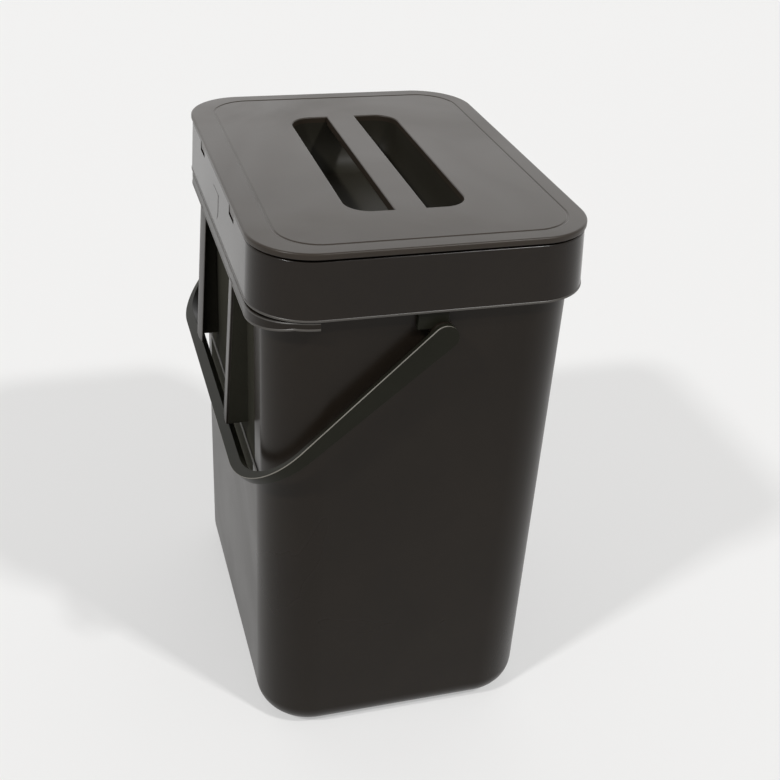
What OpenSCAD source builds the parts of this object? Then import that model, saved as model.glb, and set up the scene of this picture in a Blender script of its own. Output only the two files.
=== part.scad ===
// Hanging compost caddy: a deep bucket with a turned-down rim, a loose collar that
// traps the bag, a flat lid hinged to the back of the collar, a cup that closes the
// finger grip from below, and a bail handle. Millimetres, +Z up, +Y towards the wall.
// The origin is the middle of the underside.

/* [Bucket] */
// Outside width of the bucket wall at the rim
rim_w = 200; // [180:1:220]
// Outside depth of the bucket wall at the rim
rim_d = 144; // [132:0.5:160]
// How far the wall at the back is set in from the middle position
back_setback = 1.3; // [0:0.1:1.6]
// Height of the bucket's rim
rim_z = 255.5; // [230:0.5:290]
// Narrowing of the width from the rim to the base
draft_w = 5; // [2:0.5:8]
// Narrowing of the depth from the rim to the base, all of it at the front
draft_d = 3; // [1:0.5:6]
// Plan radius of the bucket's corners
corner_r = 27.5; // [20:0.5:32]
// Radius of the rounded edge round the base
base_edge_r = 13; // [8:0.5:16]
// Wall thickness of the bucket
wall = 1.8; // [1.2:0.1:2.4]
// Thickness of the bucket's floor
floor_t = 2.4; // [1.6:0.1:4]
// Width of the flat foot ring under the base
foot_ring_w = 6; // [4:0.5:10]
// Depth of the shallow channel between the foot ring and the middle of the base
base_channel_depth = 0.8; // [0.4:0.1:1.2]
// Width of the shallow channel in the underside
base_channel_w = 5; // [3:0.5:8]

/* [Rim lip] */
// Thickness of the lip that turns down outside the rim
lip_t = 1.2; // [1:0.1:1.6]
// Stand-off of the lip from the wall at its lower edge
lip_flare = 1.1; // [0.9:0.1:1.4]
// Depth of the lip at the front and sides, inside the collar
lip_depth = 12; // [8:0.5:14]
// Depth of the lip at the ends of its deep part, where it shows under the collar
lip_depth_side = 20; // [18:0.5:22]
// Depth of the lip across the back
lip_depth_back = 24; // [22.5:0.5:26]
// Distance from the middle to where the deep part of the lip starts
lip_step_y = 49; // [40:1:56]
// Gap between the collar's lower edge and the band of the lip that shows under it
band_gap = 2.2; // [0.3:0.1:2.6]
// How far that band is set in from the collar's outer face
band_inset = 0.1; // [0:0.1:0.6]

/* [Wall rails] */
// Distance between the middles of the two rails on the back
rail_spacing = 86; // [60:1:110]
// Width of a rail's outer face
rail_w = 11; // [8:0.5:14]
// Thickness of a rail's lip and web
rail_t = 1.8; // [1.4:0.1:2.4]
// How far a rail stands off the wall at its upper end
rail_proud = 4.8; // [4.2:0.1:5]
// How far a rail's face leans outwards towards its lower end, degrees
rail_lean = 2.6; // [0:0.1:3]
// Height of the lower end of the rails
rail_end_z = 155.5; // [150:0.5:175]
// Depth of the flat recess in the back, above the ledge
recess_depth = 1; // [0.6:0.1:1.6]
// Height of the ledge under the recess
ledge_z = 147; // [130:1:160]

/* [Collar] */
// Wall thickness of the collar
collar_wall = 1.6; // [1.2:0.1:2]
// Clearance between the collar and the bucket's lip
collar_fit = 0.3; // [0.2:0.05:0.5]
// Height of the collar's outer wall
collar_h = 26.7; // [24:0.1:30]
// Height of the collar's top above the rim
collar_rise = 10.7; // [10:0.1:12]
// Width of the collar's top, from its outer edge to the mouth
collar_top_w = 11.5; // [10:0.5:13]
// How far the collar's inner skirt reaches down past the rim
skirt_reach = 9; // [6:0.5:12]
// Height of the bead that the lid rests on
bead_h = 0.9; // [0.8:0.1:1.4]
// Width of the bead that the lid rests on
bead_w = 3; // [2:0.5:4]
// How far the bead round the collar's lower edge stands out
edge_proud = 0.25; // [0.2:0.05:0.4]
// Height of the bead round the collar's lower edge
edge_h = 1; // [0.6:0.1:1.6]
// Number of seat ribs along each long side inside the collar
seat_ribs = 5; // [3:1:8]
// Width of the tab in the middle of the collar's back
tab_w = 14; // [10:0.5:20]
// Height of the tab
tab_h = 14; // [10:0.5:16]
// How far the tab stands off the collar
tab_proud = 0.6; // [0.4:0.1:1]

/* [Lid] */
// Thickness of the lid plate
lid_t = 2.9; // [2.4:0.1:3.4]
// How far the lid plate overhangs the collar's top edge
lid_overhang = 0.7; // [0.2:0.1:1]
// Distance from the lid's edge to the line pressed into its top
line_inset = 8; // [6:0.5:10]
// Width of the pressed line
line_w = 0.8; // [0.6:0.1:1.4]
// Depth of the pressed line
line_depth = 0.3; // [0.2:0.1:0.8]
// Clearance at the front and sides of the ring under the lid
plug_fit = 0.8; // [0.5:0.1:1.2]
// Clearance behind the ring, where it swings past the mouth's edge
plug_back_fit = 1.8; // [1.4:0.1:2.4]
// Depth of the ring under the lid
plug_depth = 9; // [5:0.5:12]
// Thickness of the ring under the lid
plug_t = 1.6; // [1.2:0.1:2.2]

/* [Finger grip] */
// Length of the grip opening
grip_l = 127; // [100:1:140]
// Width of the grip opening over both slots and the bar
grip_w = 55.5; // [48:0.5:62]
// Corner radius of the grip opening
grip_r = 11.5; // [8:0.5:14]
// Width of the bar between the slots
bar_w = 14.7; // [12:0.1:18]
// Thickness of the bar
bar_t = 4.4; // [3.6:0.1:6]
// Depth of the cup under the bar, below the lid plate
cup_depth = 24; // [18:0.5:28]
// Wall thickness of the cup
cup_t = 1.6; // [1.2:0.1:2]
// Width of the cup's flange under the lid plate
cup_flange = 4; // [3:0.5:6]

/* [Lid hinge] */
// Distance of each hinge lug from the middle
hinge_x = 42; // [30:0.5:58]
// Width of a hinge lug
lug_w = 12; // [10:0.1:14]
// Gap at each side of a hinge lug
lug_gap = 0.4; // [0.3:0.05:0.6]
// Radius of the hinge pegs
peg_r = 1.1; // [1:0.05:1.15]
// Length of a hinge peg past its lug
peg_l = 3; // [2:0.1:4]
// Radial clearance of the hinge pegs
peg_fit = 0.06; // [0.03:0.01:0.1]
// Radius of the round end of a hinge lug
knuckle_r = 1.8; // [1.7:0.1:1.9]
// Depth of the hinge axis below the collar's top
hinge_drop = 2.8; // [2.8:0.1:3.2]
// Distance of the hinge axis inside the collar's back edge
hinge_inset = 1.9; // [1.8:0.1:2]
// Wall of the pockets that hold the hinge pegs
pocket_wall = 2; // [1.6:0.1:2.4]

/* [Bail handle] */
// Gap between the bail's arms and the collar
bail_gap = 0.7; // [0.7:0.05:1]
// Thickness of the bail's arms
arm_t = 2.7; // [2.2:0.1:3.2]
// Thickness of the bail round its corners and crossbar
bow_t = 3.2; // [2.8:0.1:4.4]
// Height of the bail's section at the crossbar
bow_h = 4.3; // [3:0.1:5]
// Height of the bail's section next to its pivots
arm_h = 11.8; // [8:0.1:12]
// Distance from the pivots to the outside of the crossbar
bail_reach = 115.4; // [115:0.1:119]
// Outside radius of the bail's corners
bow_r = 36; // [24:1:40]
// Radius of the round end of each arm
arm_end_r = 6; // [5.6:0.1:7]
// Radius of the pivot pegs
pivot_r = 3; // [2.4:0.1:3.4]
// Radial clearance of the pivot pegs
pivot_fit = 0.06; // [0.03:0.01:0.1]
// Height of the pivots below the rim
pivot_drop = 27.1; // [26:0.1:32]
// Distance of the pivots behind the middle of the rim
pivot_y = -4.8; // [-6:0.1:-3]
// Angle of the resting bail below the horizontal, degrees
bail_rest = 43.3; // [42.8:0.1:44]
// Radius of the round bosses that carry the pivots
ear_r = 5.6; // [5:0.1:6]
// Width of the pads above the bosses
pad_w = 14; // [12:0.5:18]
// Height of the pads' lower edge below the rim
pad_drop = 24.5; // [22:0.5:26]
// Depth of the holes in the ears
ear_hole = 4.6; // [3.6:0.1:5]

/* [Hidden] */
$fn = 64;
arc_steps = 10;   // straight pieces in each lofted corner
edge_steps = 6;   // rings in each lofted round edge
eps = 0.01;
big = 400;

anthracite = [0.17, 0.155, 0.145];
warm_grey = [0.33, 0.315, 0.30];

rim_x = rim_w / 2;
rim_y = rim_d / 2;
back_y = rim_y - back_setback;
recess_y = back_y - recess_depth;

lip_out = lip_t + lip_flare;
collar_out = lip_out + collar_fit + collar_wall;
collar_x = rim_x + collar_out;
collar_y = rim_y + collar_out;
collar_top_z = rim_z + collar_rise;
collar_low_z = collar_top_z - collar_h;
collar_taper = lip_flare;
collar_top_x = collar_x - collar_taper;
collar_top_y = collar_y - collar_taper;
collar_r = corner_r;

mouth_x = collar_top_x - collar_top_w;
mouth_y = collar_top_y - collar_top_w;
mouth_r = collar_r - collar_top_w + 4;

lid_x = collar_top_x + lid_overhang;
lid_y = collar_top_y + lid_overhang;
lid_low_z = collar_top_z + bead_h;
lid_top_z = lid_low_z + lid_t;

hinge_y = collar_top_y - hinge_inset;
hinge_z = collar_top_z - hinge_drop;
notch_half = lug_w / 2 + lug_gap;
notch_low_z = hinge_z - knuckle_r - 0.9;

arm_x = collar_x + bail_gap;
pivot_z = rim_z - pivot_drop;
ear_face_x = collar_x;

// Corner points of a rounded rectangle, anticlockwise, as a closed outline.
function rounded(hx, hy, r, cy = 0) = [
    for (q = [0:3])
        let (sx = (q == 0 || q == 3) ? 1 : -1, sy = q < 2 ? 1 : -1)
        for (k = [0:arc_steps])
            let (a = 90 * q + 90 * k / arc_steps)
            [sx * (hx - r) + r * cos(a), cy + sy * (hy - r) + r * sin(a)]
];

// Solid through rounded rectangles, each given as [hx, hy, r, cy, z], bottom first.
module loft(rings) {
    n = 4 * (arc_steps + 1);
    last = len(rings) - 1;
    points = [
        for (g = rings)
            for (p = rounded(g[0], g[1], g[2], g[3]))
                [p[0], p[1], g[4]]
    ];
    sides = [
        for (i = [0:last - 1])
            for (k = [0:n - 1])
                let (m = (k + 1) % n)
                [i * n + k, (i + 1) * n + k, (i + 1) * n + m, i * n + m]
    ];
    bottom = [for (k = [0:n - 1]) k];
    top = [for (k = [n - 1:-1:0]) last * n + k];
    polyhedron(points = points, faces = concat([bottom, top], sides), convexity = 4);
}

// Straight-sided rounded plate between two heights.
module plate(hx, hy, r, z0, z1, cy = 0) {
    translate([0, 0, z0])
        linear_extrude(z1 - z0)
            polygon(rounded(hx, hy, r, cy));
}

// Both sides of the middle plane.
module both_sides() {
    children();
    mirror([1, 0, 0]) children();
}

// ---------------------------------------------------------------- bucket

// One ring of the bucket at height z, moved in by t. The back wall stands upright.
function bucket_ring(z, t) =
    let (
        u = 1 - z / rim_z,
        hx = rim_x - draft_w / 2 * u,
        hy = (back_y + rim_y - draft_d * u) / 2
    )
    [hx - t, hy - t, max(corner_r - t, 2), back_y - hy, z];

// Rounded lower edge of radius r on the bucket, starting at height z0, moved in by t.
function bucket_edge(r, z0, t) = [
    for (i = [0:edge_steps])
        let (a = 90 * i / edge_steps, g = bucket_ring(z0 + r * (1 - sin(a)), t + r * (1 - cos(a))))
        [g[0], g[1], g[2], g[3], z0 + r * (1 - sin(a))]
];

function reversed(v) = [for (i = [len(v) - 1:-1:0]) v[i]];

function mirrored(v) = [for (p = v) [-p[0], p[1]]];

// Block of space behind the recessed back wall, moved in by t.
module back_recess(t) {
    translate([-big / 2, recess_y - t, ledge_z - t])
        cube([big, big, big]);
}

module bucket_shell() {
    difference() {
        loft(concat(reversed(bucket_edge(base_edge_r, 0, 0)), [bucket_ring(rim_z, 0)]));
        back_recess(0);
        bucket_inside();
        base_channel();
    }
}

module bucket_inside() {
    difference() {
        loft(concat(
            reversed(bucket_edge(base_edge_r - wall, floor_t, wall)),
            [bucket_ring(rim_z + 1, wall)]
        ));
        back_recess(wall);
    }
}

// Shallow channel in the underside, inside the foot ring.
module base_channel() {
    foot = bucket_ring(0, base_edge_r + foot_ring_w);
    difference() {
        plate(foot[0], foot[1], foot[2], -1, base_channel_depth, foot[3]);
        plate(foot[0] - base_channel_w, foot[1] - base_channel_w, max(foot[2] - base_channel_w, 2),
              -2, base_channel_depth + 1, foot[3]);
    }
}

// Space below the lip: a step up in front of the deep part, which sinks towards the back.
module below_lip() {
    side = rim_z - lip_depth_side;
    low = rim_z - lip_depth_back;
    turn_y = max(lip_step_y + 1, rim_y - corner_r / 2);
    translate([-big / 2, 0, 0])
        rotate([90, 0, 90])
            linear_extrude(big)
                polygon([
                    [-big, low - 5], [-big, rim_z - lip_depth],
                    [lip_step_y, rim_z - lip_depth], [lip_step_y, side],
                    [turn_y, side], [rim_y, low],
                    [big, low], [big, low - 5]
                ]);
}

// Lip that turns down outside the rim, deeper round the back.
module rim_lip() {
    low = rim_z - lip_depth_back;
    difference() {
        loft([
            [rim_x + lip_out, rim_y + lip_out, corner_r, 0, low],
            [rim_x + lip_t, rim_y + lip_t, corner_r, 0, rim_z]
        ]);
        loft([
            [rim_x + lip_flare, rim_y + lip_flare, corner_r, 0, low - eps],
            [rim_x - eps, rim_y - eps, corner_r, 0, rim_z - lip_t]
        ]);
        loft([bucket_ring(rim_z - lip_t - eps, wall / 2), bucket_ring(rim_z + eps, wall / 2)]);
        below_lip();
    }
}

// Band that shows under the collar round the back, level with the collar's face.
module back_band() {
    low = rim_z - lip_depth_back;
    x = collar_x - band_inset;
    y = collar_y - band_inset;
    difference() {
        plate(x, y, collar_r, low, collar_low_z - band_gap);
        plate(rim_x + lip_flare, rim_y + lip_flare, corner_r, low - 1, collar_low_z);
        below_lip();
    }
}

// Outer face of a rail at height z.
function rail_face_y(z) = back_y + rail_proud + tan(rail_lean) * (rim_z - lip_depth_back - z);

// Rail with an inward lip: its web is on the outer side.
module rail() {
    top_z = rim_z - lip_depth_back + 1;
    face = [rail_face_y(top_z), rail_face_y(rail_end_z)];
    out_x = rail_spacing / 2 + rail_w / 2;
    translate([out_x - rail_w, 0, 0])
        rotate([90, 0, 90])
            linear_extrude(rail_w)
                polygon([
                    [face[1] - rail_t, rail_end_z], [face[1], rail_end_z],
                    [face[0], top_z], [face[0] - rail_t, top_z]
                ]);
    translate([out_x - rail_t, 0, 0])
        rotate([90, 0, 90])
            linear_extrude(rail_t)
                polygon([
                    [recess_y - wall / 2, rail_end_z], [face[1], rail_end_z],
                    [face[0], top_z], [recess_y - wall / 2, top_z]
                ]);
}

// Pad that hangs from the rim's lip, and the round boss for the bail's pivot.
module ear() {
    root_x = rim_x - wall - draft_w / 4;
    pad_z = rim_z - pad_drop;
    translate([root_x, pivot_y, pivot_z])
        rotate([0, 90, 0])
            cylinder(r = ear_r, h = ear_face_x - root_x);
    translate([root_x, -pad_w / 2 - 0.5, pad_z])
        cube([ear_face_x - root_x, pad_w, collar_low_z - collar_fit - pad_z]);
}

module ear_bore() {
    translate([ear_face_x - ear_hole, pivot_y, pivot_z])
        rotate([0, 90, 0])
            cylinder(r = pivot_r + pivot_fit, h = ear_hole + 1);
}

module bucket() {
    color(anthracite)
        difference() {
            union() {
                bucket_shell();
                difference() {
                    union() {
                        both_sides() ear();
                        both_sides() rail();
                    }
                    bucket_inside();
                }
                rim_lip();
                back_band();
            }
            both_sides() ear_bore();
        }
}

// ---------------------------------------------------------------- collar

module collar_shell() {
    difference() {
        loft([
            [collar_x, collar_y, collar_r, 0, collar_low_z],
            [collar_top_x, collar_top_y, collar_r, 0, collar_top_z]
        ]);
        loft([
            [collar_x - collar_wall, collar_y - collar_wall, collar_r, 0, collar_low_z - eps],
            [collar_top_x - collar_wall, collar_top_y - collar_wall, collar_r, 0, collar_top_z - collar_wall]
        ]);
        plate(mouth_x, mouth_y, mouth_r, collar_low_z, collar_top_z + 1);
    }
}

// Bead round the lower edge of the outer wall.
module edge_bead() {
    x = collar_x + edge_proud;
    y = collar_y + edge_proud;
    r = collar_r + edge_proud;
    difference() {
        loft([
            [x - edge_proud / 2, y - edge_proud / 2, r, 0, collar_low_z],
            [x, y, r, 0, collar_low_z + edge_h / 2],
            [x - edge_proud, y - edge_proud, r, 0, collar_low_z + edge_h]
        ]);
        plate(collar_x - collar_wall / 2, collar_y - collar_wall / 2, collar_r,
              collar_low_z - 1, collar_low_z + edge_h + 1);
    }
}

// Bead round the mouth, on which the lid rests.
module mouth_bead() {
    difference() {
        plate(mouth_x + bead_w, mouth_y + bead_w, mouth_r + bead_w, collar_top_z - eps, collar_top_z + bead_h);
        plate(mouth_x, mouth_y, mouth_r, collar_top_z - 1, collar_top_z + bead_h + 1);
    }
}

// Skirt that reaches into the bucket and holds the bag against its wall.
module inner_skirt() {
    difference() {
        plate(mouth_x + collar_wall, mouth_y + collar_wall, mouth_r + collar_wall,
              rim_z - skirt_reach, collar_top_z - eps);
        plate(mouth_x, mouth_y, mouth_r, rim_z - skirt_reach - 1, collar_top_z + 1);
    }
}

// Ribs that stand on the bucket's rim and carry the collar.
module seat_rib_set() {
    run_x = mouth_x - mouth_r;
    reach = collar_top_w - collar_wall;
    for (i = [0:seat_ribs - 1]) {
        x = -run_x + 2 * run_x * i / (seat_ribs - 1);
        for (side = [-1, 1])
            translate([x - collar_wall / 2, side > 0 ? mouth_y : -mouth_y - reach, rim_z])
                cube([collar_wall, reach, collar_rise - collar_wall + eps]);
    }
    for (side = [-1, 1])
        for (y = [-mouth_y / 2, mouth_y / 2])
            translate([side > 0 ? mouth_x : -mouth_x - reach, y - collar_wall / 2, rim_z])
                cube([reach, collar_wall, collar_rise - collar_wall + eps]);
}

// Raised tab with a round lower end in the middle of the back.
module back_tab() {
    r = tab_w / 2;
    low = collar_low_z + 5;
    intersection() {
        translate([0, collar_top_y, 0])
            rotate([90, 0, 0])
                linear_extrude(2 * collar_taper, center = true)
                    union() {
                        translate([0, low + r]) circle(r = r);
                        translate([-r, low + r]) square([tab_w, tab_h - r]);
                    }
        loft([
            [collar_x, collar_y + tab_proud, collar_r, 0, collar_low_z],
            [collar_top_x, collar_top_y + tab_proud, collar_r, 0, collar_top_z]
        ]);
    }
}

// Pocket block beside a hinge notch.
module peg_pocket() {
    low = hinge_z - peg_r - pocket_wall;
    deep = peg_l + pocket_wall;
    for (x = [hinge_x - notch_half - deep, hinge_x + notch_half])
        translate([x, mouth_y + eps, low])
            cube([deep, hinge_y + peg_r + 0.4 - mouth_y, collar_top_z - low - eps]);
}

module hinge_notch() {
    translate([hinge_x - notch_half, hinge_y - knuckle_r - 0.8, notch_low_z])
        cube([2 * notch_half, big, big]);
}

module peg_bore() {
    translate([hinge_x - notch_half - peg_l - 0.3, hinge_y, hinge_z])
        rotate([0, 90, 0])
            cylinder(r = peg_r + peg_fit, h = 2 * (notch_half + peg_l + 0.3));
}

module collar() {
    color(anthracite)
        difference() {
            union() {
                collar_shell();
                edge_bead();
                mouth_bead();
                inner_skirt();
                seat_rib_set();
                both_sides() peg_pocket();
                back_tab();
            }
            both_sides() hinge_notch();
            both_sides() peg_bore();
        }
}

// ---------------------------------------------------------------- lid

module lid_plate() {
    difference() {
        plate(lid_x, lid_y, collar_r + lid_overhang, lid_low_z, lid_top_z);
        plate(grip_l / 2, grip_w / 2, grip_r, lid_low_z - 1, lid_top_z + 1);
        pressed_line();
    }
}

module pressed_line() {
    difference() {
        plate(lid_x - line_inset, lid_y - line_inset, collar_r - line_inset,
              lid_top_z - line_depth, lid_top_z + 1);
        plate(lid_x - line_inset - line_w, lid_y - line_inset - line_w, collar_r - line_inset - line_w,
              lid_top_z - line_depth - 1, lid_top_z + 2);
    }
}

// Ring that drops into the mouth, set forward so that it can swing out.
module plug_ring() {
    x = mouth_x - plug_fit;
    y = mouth_y - (plug_fit + plug_back_fit) / 2;
    mid_y = (plug_fit - plug_back_fit) / 2;
    r = mouth_r - plug_fit;
    difference() {
        plate(x, y, r, lid_low_z - plug_depth, lid_low_z + eps, mid_y);
        plate(x - plug_t, y - plug_t, r - plug_t, lid_low_z - plug_depth - 1, lid_low_z + 1, mid_y);
    }
}

// Bar level with the lid's top, with a rib under it that reaches into the cup.
module grip_bar() {
    translate([-grip_l / 2 - 1, -bar_w / 2, lid_low_z])
        cube([grip_l + 2, bar_w, lid_t]);
    translate([-grip_l / 2 + 0.4, -bar_w / 2, lid_top_z - bar_t])
        cube([grip_l - 0.8, bar_w, bar_t - lid_t + eps]);
}

// Hinge lug with a peg at each side.
module hinge_lug() {
    translate([hinge_x - lug_w / 2, hinge_y, hinge_z]) {
        rotate([0, 90, 0]) cylinder(r = knuckle_r, h = lug_w);
        translate([0, -knuckle_r, 0]) cube([lug_w, 2 * knuckle_r, lid_low_z - hinge_z + eps]);
        translate([-peg_l, 0, 0]) rotate([0, 90, 0]) cylinder(r = peg_r, h = lug_w + 2 * peg_l);
    }
}

module lid() {
    color(warm_grey)
        union() {
            lid_plate();
            plug_ring();
            grip_bar();
            both_sides() hinge_lug();
        }
}

// ---------------------------------------------------------------- grip cup

// One ring of the cup's inside at depth d below the lid plate, widened by t.
function cup_ring(d, t) =
    let (f = d / cup_depth, pull = grip_w * 0.27 * (1 - sqrt(max(0, 1 - pow(f, 2.6)))))
    [grip_l / 2 - pull * 0.9 + t, grip_w / 2 - pull + t, max(grip_r - pull * 0.35 + t, 3), 0, lid_low_z - d];

module grip_cup() {
    depths = [for (i = [0:8]) cup_depth * sin(90 * i / 8)];
    color(anthracite)
        difference() {
            union() {
                plate(grip_l / 2 + cup_flange, grip_w / 2 + cup_flange, grip_r + cup_flange,
                      lid_low_z - cup_t, lid_low_z);
                loft([for (i = [8:-1:0])
                    let (g = cup_ring(depths[i], cup_t))
                    [g[0], g[1], g[2], g[3], i == 0 ? lid_low_z : g[4] - cup_t]]);
            }
            loft(concat([for (i = [8:-1:0]) cup_ring(depths[i], 0)], [cup_ring(-1, 0)]));
        }
}

// ---------------------------------------------------------------- bail

// Inside and outside of the bail seen square on: x across, y along the arms.
module bail_outline() {
    inner_r = bow_r - bow_t;
    steps = 24;
    x = arm_x + arm_t;
    outside = [for (k = [0:steps]) let (a = 90 * k / steps)
        [x - bow_r + bow_r * cos(a), bail_reach - bow_r + bow_r * sin(a)]];
    inside = [for (k = [0:steps]) let (a = 90 * k / steps)
        [arm_x - inner_r + inner_r * cos(a), bail_reach - bow_r + inner_r * sin(a)]];
    polygon(concat(
        [[x, 0]], outside, mirrored(reversed(outside)), [[-x, 0], [-arm_x, 0]],
        mirrored(inside), reversed(inside), [[arm_x, 0]]
    ));
}

// Side view of the bail: its top edge is straight, and it grows deeper towards the pivots.
module bail_profile() {
    top = arm_end_r;
    polygon([
        [0, top], [bail_reach + 1, top],
        [bail_reach + 1, top - bow_h], [0, top - arm_h]
    ]);
}

module bail_flat() {
    intersection() {
        translate([0, 0, -arm_end_r])
            linear_extrude(3 * arm_end_r)
                bail_outline();
        rotate([90, 0, 90])
            translate([0, 0, -arm_x - 2 * arm_t])
                linear_extrude(2 * arm_x + 4 * arm_t)
                    bail_profile();
    }
    both_sides() {
        translate([arm_x, 0, 0]) rotate([0, 90, 0]) cylinder(r = arm_end_r, h = arm_t);
        translate([ear_face_x - ear_hole + 0.4, 0, 0])
            rotate([0, 90, 0])
                cylinder(r = pivot_r, h = arm_x - ear_face_x + ear_hole - 0.4 + eps);
    }
}

module bail() {
    color(anthracite)
        translate([0, pivot_y, pivot_z])
            rotate([-bail_rest, 0, 0])
                bail_flat();
}

bucket();
collar();
lid();
grip_cup();
bail();
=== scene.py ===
import math

import bmesh
import bpy
from mathutils import Matrix, Vector


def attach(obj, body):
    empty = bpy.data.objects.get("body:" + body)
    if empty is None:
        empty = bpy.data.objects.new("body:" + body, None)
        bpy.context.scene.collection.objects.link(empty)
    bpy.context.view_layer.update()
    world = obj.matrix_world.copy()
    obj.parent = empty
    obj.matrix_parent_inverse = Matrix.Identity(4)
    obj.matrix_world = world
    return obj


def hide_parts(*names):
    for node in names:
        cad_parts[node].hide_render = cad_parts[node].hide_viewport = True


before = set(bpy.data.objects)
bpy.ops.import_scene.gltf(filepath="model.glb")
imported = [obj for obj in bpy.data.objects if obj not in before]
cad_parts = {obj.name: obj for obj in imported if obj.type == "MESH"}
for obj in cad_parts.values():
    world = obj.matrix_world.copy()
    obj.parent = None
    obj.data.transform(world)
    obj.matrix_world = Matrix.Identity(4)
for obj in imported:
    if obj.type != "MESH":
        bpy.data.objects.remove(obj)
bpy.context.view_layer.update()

# The look of a hanging compost caddy. Sizes are in millimetres, as in the CAD source,
# and are turned into metres where a mesh is made. A section is a list of (outward, height)
# and a shape is a list of small offsets that ease an edge.
MM = 0.001

# Bucket
RIM_X = 100.0
RIM_Y = 72.0
RIM_Z = 255.5
BACK_Y = 70.7
DRAFT_W = 5.0
DRAFT_D = 3.0
CORNER_R = 27.5
WALL_LEAST_R = 2.0
BASE_EDGE_R = 13.0
WALL = 1.8
FLOOR_T = 2.4
FOOT_RING_W = 6.0
CHANNEL_W = 5.0
CHANNEL_DEPTH = 0.8
LOW_RINGS_Z = (60.0, 110.0)
HIGH_RING_Z = 190.0

# Recess between the rails, its ledge and its field, whose faces lie on the plane of the back
# and look backwards. The field's dull, near-mirrorless skin paints the shade there and under the
# bail.
RECESS_Y = BACK_Y - 1.0
LEDGE_Z = 147.0
LEDGE_EDGE = 0.6
LEDGE_STEP = 0.05
FIELD_LOW_Z = 134.0
FIELD_X = 64.0
FIELD_MARGIN = 0.5
ON_PLANE = 0.1
FACES_BACK = 0.9

# Lip round the rim. The outer shape is (inward, up), and the root is (outward, down).
LIP_T = 1.2
LIP_FLARE = 1.1
LIP_ROUND = 0.7
LIP_OUTER_SHAPE = ((0.0, 0.3), (0.1, 0.08), (0.3, 0.0))
LIP_INNER_EASE = 0.1
LIP_ROOT = (0.3, 0.2)
LIP_DEPTH_FRONT = 12.0
LIP_DEPTH_SIDE = 20.0
LIP_DEPTH_BACK = 24.0
LIP_STEP_Y = 49.0

# Band under the collar. The bead's shape is (share of its thickness, height above the edge),
# and the top's is (inward, down).
BAND_TOP_Z = 237.3
BAND_END_TOP_Z = 239.2
BAND_OUT = 4.1
BAND_UNDER_EASE = 0.2
BAND_BEAD = 0.25
BAND_BEAD_SHAPE = ((0.8, 0.12), (1.0, 0.4), (0.7, 0.75), (0.0, 1.0))
BAND_TOP_SHAPE = ((0.0, 0.6), (0.2, 0.2), (0.6, 0.0))
# Sides of the band's section, on the bead and the top edge, that take a painted highlight.
BAND_LIT_SIDES = (1, 2, 3, 4, 6, 7)

# Rails on the back
RAIL_X = 41.5
RAIL_W = 11.0
RAIL_T = 1.4
RAIL_FLAT = 5.0
RAIL_FALL = 0.8
RAIL_PROUD = 5.8
RAIL_LEAN = math.radians(3.2)
RAIL_END_Z = 158.7
RAIL_TOP_Z = RIM_Z - LIP_DEPTH_BACK + 1
RAIL_ROOT_Y = RECESS_Y - WALL / 2
WEB_BEHIND = 0.3
WEB_INSET = 0.06

# Collar. Its bead's shape is (share of its thickness, height above the edge).
COLLAR_X = 104.2
COLLAR_Y = 76.2
COLLAR_WALL = 1.6
COLLAR_TAPER = 1.1
COLLAR_TOP_Z = 266.2
COLLAR_LOW_Z = 239.5
COLLAR_LEAST_R = 4.0
COLLAR_EDGE = 0.9
COLLAR_BEAD = 0.25
COLLAR_BEAD_SHAPE = ((0.0, 0.0), (0.7, 0.06), (1.0, 0.3), (1.0, 0.6), (0.7, 0.85), (0.0, 1.0))
MOUTH_IN = 11.5
MOUTH_X = COLLAR_X - COLLAR_TAPER - MOUTH_IN
MOUTH_Y = COLLAR_Y - COLLAR_TAPER - MOUTH_IN
MOUTH_R = 20.0
MOUTH_BEAD_W = 3.0
MOUTH_BEAD_H = 0.9
MOUTH_BEAD_EASE = 0.3
SKIRT_LOW_Z = RIM_Z - 9
TAB_W = 14.0
TAB_H = 14.0
TAB_RISE = 5.0
TAB_SUNK = 0.8
TAB_PROUD = 0.12

# Lid. The under shape is (inward, up), and the line's is (inward, down).
LID_X = 103.8
LID_Y = 75.8
LID_R = CORNER_R + 0.7
LID_LOW_Z = 267.1
LID_TOP_Z = 270.0
LID_EDGE = 1.0
LID_UNDER_SHAPE = ((1.0, 0.0), (0.5, 0.0), (0.15, 0.15), (0.0, 0.5))
LINE_IN = 8.0
LINE_W = 1.2
LINE_BACK = 3.5
LINE_SHAPE = ((-0.2, 0.0), (0.0, 0.08), (0.3, 0.3))
PLUG_DEPTH = 9.0
PLUG_FIT = 0.8
PLUG_BACK_FIT = 1.8
PLUG_T = 1.6
PLUG_EASE = 0.4

# Finger grip
GRIP_L = 127.0
GRIP_W = 55.5
GRIP_R = 11.5
SLOT_EDGE = 0.7
BAR_W = 14.7
BAR_T = 4.4
RIB_GAP = 0.4
RIB_SUNK = 0.5
CUP_DEPTH = 24.0
CUP_T = 1.6
CUP_FLANGE = 4.0
CUP_PULL = 0.27 * GRIP_W
CUP_BELLY = 2.6
CUP_END_SHARE = 0.9
CUP_CORNER_SHARE = 0.35
CUP_LEAST_R = 3.0

# Lid hinge
HINGE_X = 42.0
HINGE_Y = 73.2
HINGE_Z = 263.4
LUG_W = 12.0
LUG_GAP = 0.12
LUG_TURN_R = 2.08
KNUCKLE_R = 1.8
NOTCH_DEPTH = 2.3
NOTCH_FRONT_GAP = 0.8
PAST_COLLAR_Y = 90.0
PAST_COLLAR_Z = 280.0
PEG_R = 1.1
PEG_L = 3.0
POCKET_DEEP = PEG_L + 2
POCKET_FRONT_Y = 63.7
POCKET_UNDER = 2.0
POCKET_BEHIND = 0.4

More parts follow.
